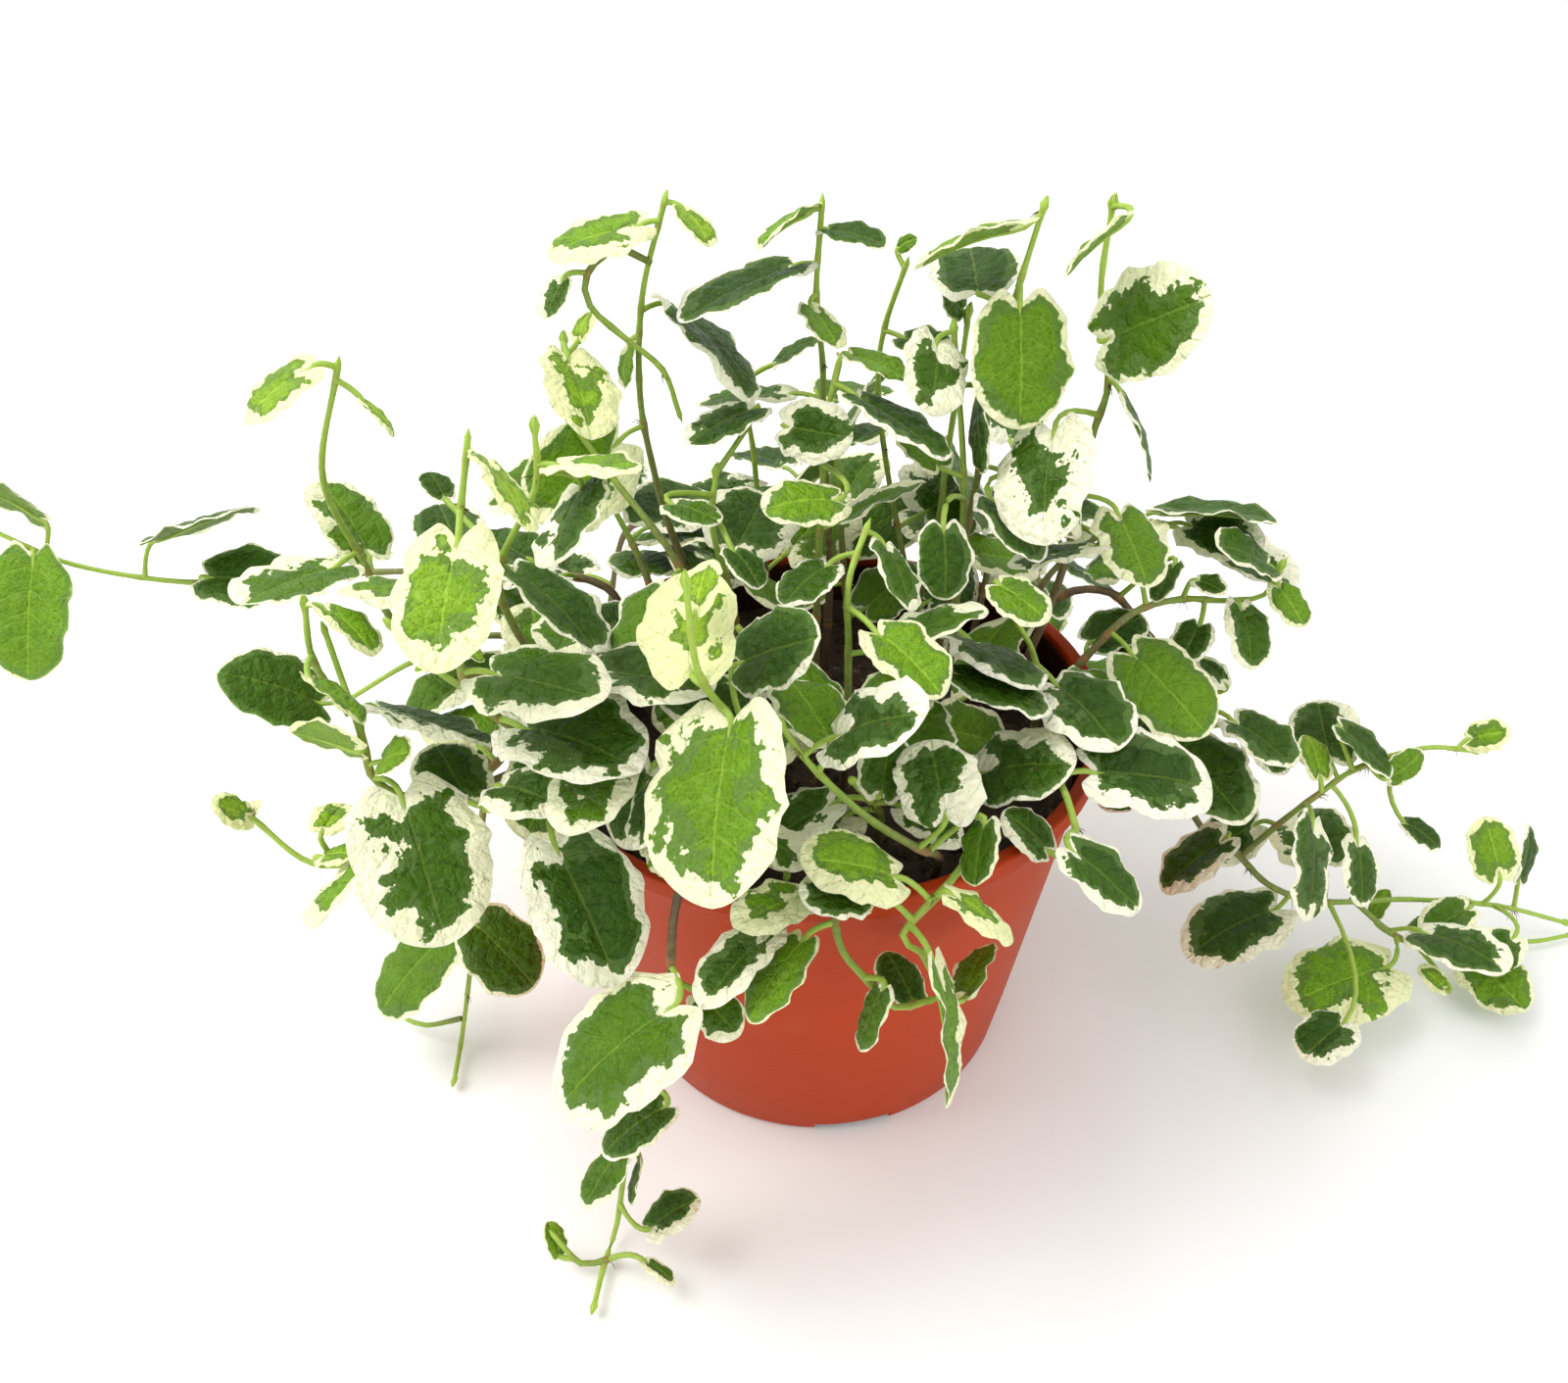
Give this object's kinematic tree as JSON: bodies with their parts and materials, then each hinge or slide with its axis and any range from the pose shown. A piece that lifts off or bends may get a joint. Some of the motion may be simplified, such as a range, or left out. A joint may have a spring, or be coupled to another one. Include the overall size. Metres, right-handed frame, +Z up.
{
  "type": "potted variegated creeping fig",
  "caption": "Trailing houseplant with cream-edged leaves on thin arching stems, standing in soil in a round plastic nursery pot.",
  "frame": {"origin": "on the floor under the middle of the pot, on the pot's flat underside", "axes": "+Z up, the plant's seen side faces -Y, +X to the right of that view"},
  "size_m": [0.3341, 0.2081, 0.1655],
  "materials": {
    "pot": "satin",
    "soil": "rough",
    "foliage": "satin"
  },
  "bodies": {
    "root": {"pot": "pot", "soil": "soil", "shoot_tall_left": "foliage", "shoot_tall_mid": "foliage", "shoot_right_tall": "foliage", "shoot_right_inner": "foliage", "shoot_back_right": "foliage", "shoot_left_arch": "foliage", "shoot_left_reach": "foliage", "shoot_left_rise": "foliage", "shoot_left_mid": "foliage", "shoot_left_front": "foliage", "shoot_left_twigs": "foliage", "shoot_left_back": "foliage", "shoot_left_low": "foliage", "shoot_left_fall": "foliage", "shoot_far_left": "foliage", "shoot_front_tip": "foliage", "shoot_front_right": "foliage", "shoot_centre_front": "foliage", "shoot_right_front": "foliage", "shoot_right_mid": "foliage", "shoot_front_drop": "foliage", "shoot_hanging": "foliage", "shoot_front_hang": "foliage", "shoot_front_inner": "foliage", "shoot_front_trail": "foliage", "shoot_front_low": "foliage", "shoot_front_low_left": "foliage", "shoot_back_left": "foliage", "shoot_crown_mid": "foliage", "shoot_crown_right": "foliage", "shoot_crown_left": "foliage", "shoot_crown_low": "foliage", "shoot_crown_low_right": "foliage", "shoot_crown_low_left": "foliage", "shoot_right_trail": "foliage", "shoot_right_high": "foliage", "shoot_back_trail_right": "foliage", "shoot_back_trail_left": "foliage", "shoot_back_over": "foliage", "shoot_back_up_left": "foliage", "shoot_back_up_mid": "foliage", "shoot_back_up_right": "foliage", "shoot_back_side_right": "foliage"}
  },
  "joints": []
}
